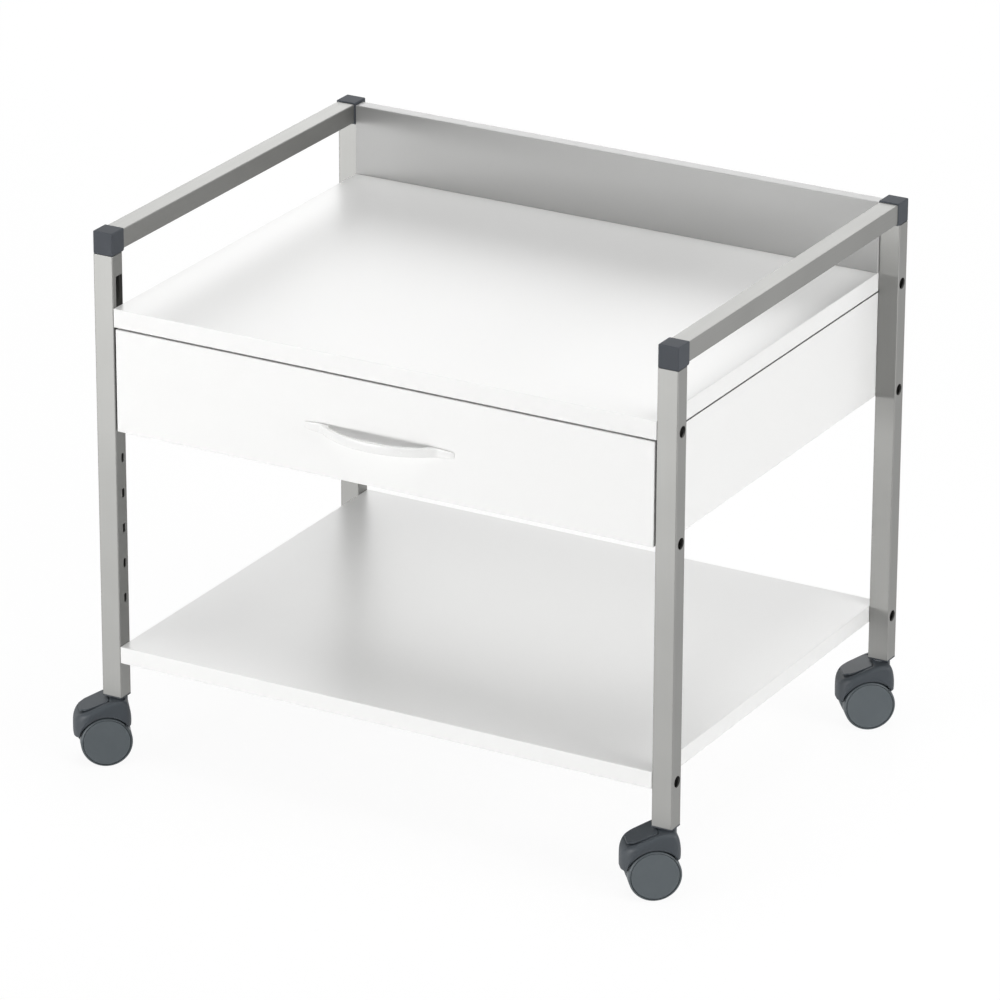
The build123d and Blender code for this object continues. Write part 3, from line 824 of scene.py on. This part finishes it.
# The grab rails: square tube in the same anodised aluminium, pushed over the
# connectors' plugs between the front and the rear post.
rail_metal = satin_aluminium("anodised_aluminium_rail", 1)
rail_round = 0.0014
for side in ("left", "right"):
    low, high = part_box(f"top_rail_{side}")
    middle = (low + high) / 2
    half = Vector((rail_size / 2, rail_size / 2))
    spot = Vector((middle.x, middle.z))
    outer = oblong(spot - half, spot + half, rail_round)
    inset = Vector((post_wall, post_wall))
    inner = oblong(spot - half + inset, spot + half - inset, bore_round)
    rings = ((outer, low.y), (outer, high.y), (inner, high.y), (inner, low.y))
    rows = [[(x, y, z) for x, z in ring] for ring, y in rings]
    mesh = bmesh.new()
    skin(mesh, rows + rows[:1])
    piece = flat_faced(finished(f"top_rail_{side}_tube", mesh, rail_metal))
    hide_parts(f"top_rail_{side}")
    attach(piece, "frame")


# Screws, bolts and runners: steel, zinc plated. The runners are rolled from
# strip, and rows of balls in a cage run between their three members.
for name in ("frame_bolts", "runner_screws", "handle_screws"):
    wear_finish(name, plated)
for side in ("left", "right"):
    for member in ("fixed", "middle", "drawer"):
        wear_finish(f"runner_{member}_{side}", plated)


# The handle: a flat bow of die-cast zinc, sprayed with white enamel that
# softens its edges. Its two feet lie flat on the drawer's front, and a screw
# comes through into each from inside.
def white_enamel(name):
    """Stoved white enamel on a casting: glossy, with a faint orange peel about 2 mm wide."""
    material, tree, shader = blank(name)
    place = add(tree, "TexCoord")
    peel_wide = 0.002
    peeled = {"Scale": 1 / peel_wide, "Detail": 1}
    peel = add(tree, "TexNoise", peeled, {"Vector": place.outputs["Object"]})
    tone = {"Color1": linear("#EDEDEC"), "Color2": linear("#E9E9E8")}
    colour = add(tree, "MixRGB", tone, {"Fac": peel.outputs["Fac"]})
    gloss = add(tree, "MapRange", {"To Min": 0.22, "To Max": 0.3}, {"Value": peel.outputs["Fac"]})
    relief = add(tree, "Bump", {"Strength": 0.1, "Distance": 0.0001}, {"Height": peel.outputs["Fac"]})
    shader.inputs["IOR"].default_value = 1.5
    tree.links.new(colour.outputs["Color"], shader.inputs["Base Color"])
    tree.links.new(gloss.outputs["Result"], shader.inputs["Roughness"])
    tree.links.new(relief.outputs["Normal"], shader.inputs["Normal"])
    return material


low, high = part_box("drawer_handle")
half_span = (high.x - low.x) / 2
reach = high.y - low.y
half_height = (high.z - low.z) / 2
middle_z = (high.z + low.z) / 2
strap = 0.005
foot_long = 0.018
bow_half = half_span - foot_long
bow_radius = (bow_half**2 + reach**2) / (2 * reach)
inner_radius = bow_radius - strap
foot_flat, foot_taper = 0.0035, 0.012
least_thick, seat_play = 0.0008, 0.00005
end_tall, tall_gain, tall_taper = 0.55, 0.45, 0.02
squareness = 0.45
grip_half = 0.068
mesh = bmesh.new()
rings = []
stations = 72
around = 20
for station in range(stations + 1):
    x = half_span * math.sin(math.pi / 2 * (2 * station / stations - 1))
    rise = max(0, math.sqrt(bow_radius**2 - x * x) - (bow_radius - reach))
    foot = foot_flat * min(1, math.sqrt(max(0, (half_span - abs(x)) / foot_taper)))
    outer = max(rise, foot, least_thick)
    under = math.sqrt(inner_radius**2 - min(abs(x), inner_radius) ** 2) - (bow_radius - reach)
    inner = max(seat_play, under) if abs(x) < grip_half else seat_play
    centre_y = high.y - (outer + inner) / 2
    thick = (outer - inner) / 2
    gain = tall_gain * math.sqrt(max(0, (half_span - abs(x)) / tall_taper))
    tall = half_height * min(1, end_tall + gain)
    ring = []
    for step in range(around):
        angle = 2 * math.pi * step / around
        y = math.copysign(abs(math.cos(angle)) ** squareness, math.cos(angle)) * thick
        z = math.copysign(abs(math.sin(angle)) ** squareness, math.sin(angle)) * tall
        ring.append(mesh.verts.new((x, centre_y + y, middle_z + z)))
    rings.append(ring)
for first, second in zip(rings, rings[1:]):
    for step in range(around):
        after = (step + 1) % around
        mesh.faces.new((first[step], first[after], second[after], second[step]))
mesh.faces.new(rings[0])
mesh.faces.new(rings[-1])
piece = finished("drawer_handle_bow", mesh, white_enamel("white_stove_enamel"), 50)
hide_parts("drawer_handle")
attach(piece, "drawer")


# The floor: a pale sheet that keeps a soft shadow under the trolley, lit by
# four large soft lamps and a white room.
def backdrop_share(tree, share):
    """How far a ray sees the plain white background: camera, glossy and transmission rays do."""
    path = add(tree, "LightPath")
    pair = {0: path.outputs["Is Camera Ray"], 1: path.outputs["Is Glossy Ray"]}
    seen = add(tree, "Math", {"operation": "MAXIMUM"}, pair)
    pair = {0: seen.outputs[0], 1: path.outputs["Is Transmission Ray"]}
    seen = add(tree, "Math", {"operation": "MAXIMUM"}, pair)
    return add(tree, "Math", {"operation": "MULTIPLY", 1: share}, {0: seen.outputs[0]})


half_floor = 12
floor_glow, floor_share = 1.03, 0.9
room_light = 0.18
mesh = bmesh.new()
bmesh.ops.create_grid(mesh, x_segments=1, y_segments=1, size=half_floor)
material, tree, shader = blank("pale_floor")
shader.inputs["Base Color"].default_value = linear("#F4F4F4")
shader.inputs["Roughness"].default_value = 0.9
white = add(tree, "Emission", {"Strength": floor_glow})
share = backdrop_share(tree, floor_share)
mixed = add(tree, "MixShader", links={0: share.outputs[0], 1: shader.outputs["BSDF"], 2: white.outputs[0]})
tree.links.new(mixed.outputs[0], tree.nodes["Material Output"].inputs["Surface"])
floor = finished("floor", mesh, material)

world = bpy.data.worlds.new("white_room")
world.use_nodes = True
tree = world.node_tree
room = tree.nodes["Background"]
room.inputs["Color"].default_value = linear("#FFFFFF")
room.inputs["Strength"].default_value = room_light
white = add(tree, "Background", {"Color": linear("#FFFFFF"), "Strength": 1})
share = backdrop_share(tree, 1)
mixed = add(tree, "MixShader", links={0: share.outputs[0], 1: room.outputs[0], 2: white.outputs[0]})
tree.links.new(mixed.outputs[0], tree.nodes["World Output"].inputs["Surface"])
bpy.context.scene.world = world


def soft_lamp(name, place, wide, tall, watts):
    """An oblong lamp that looks at the middle of the trolley, and that the camera doesn't see."""
    light = bpy.data.lights.new(name, "AREA")
    light.shape = "RECTANGLE"
    light.size = wide
    light.size_y = tall
    light.energy = watts
    lamp = bpy.data.objects.new(name, light)
    lamp.location = place
    lamp.rotation_mode = "QUATERNION"
    lamp.rotation_quaternion = (trolley_middle - Vector(place)).to_track_quat("-Z", "Y")
    lamp.visible_camera = False
    bpy.context.scene.collection.objects.link(lamp)


trolley_middle = Vector((0, 0, 0.35))
soft_lamp("front_lamp", (-2.7, -4.9, 0.45), 3.4, 0.8, 195)
soft_lamp("side_lamp", (3.4, -0.4, 1.0), 1.8, 1.4, 58)
soft_lamp("rear_lamp", (-1.8, 3.2, 1.9), 2.4, 2.0, 37)
soft_lamp("top_lamp", (0.2, -0.3, 4.0), 2.4, 2.4, 63)


# The camera stands well back in front and to the right, above the top shelf,
# with a long lens, as for a catalogue picture.
azimuth = math.radians(29.387)
elevation = math.radians(22.124)
roll = math.radians(0.227)
distance = 7.655
focal_length, film_width = 226.28, 36
aim = Vector((0.0525, -0.1001, 0.3709))
back_x = math.sin(azimuth) * math.cos(elevation)
back_y = -math.cos(azimuth) * math.cos(elevation)
back = Vector((back_x, back_y, math.sin(elevation)))
right = Vector((math.cos(azimuth), math.sin(azimuth), 0))
up = back.cross(right)
turned_right = right * math.cos(roll) + up * math.sin(roll)
turned_up = up * math.cos(roll) - right * math.sin(roll)
lens = bpy.data.cameras.new("camera")
lens.lens = focal_length
lens.sensor_width = film_width
camera = bpy.data.objects.new("camera", lens)
spot = aim + back * distance
axes = zip(turned_right, turned_up, back)
rows = [[*row, place] for row, place in zip(axes, spot)]
camera.matrix_world = Matrix(rows + [[0, 0, 0, 1]])
bpy.context.scene.collection.objects.link(camera)
bpy.context.scene.camera = camera
bpy.context.scene.view_settings.view_transform = "Standard"
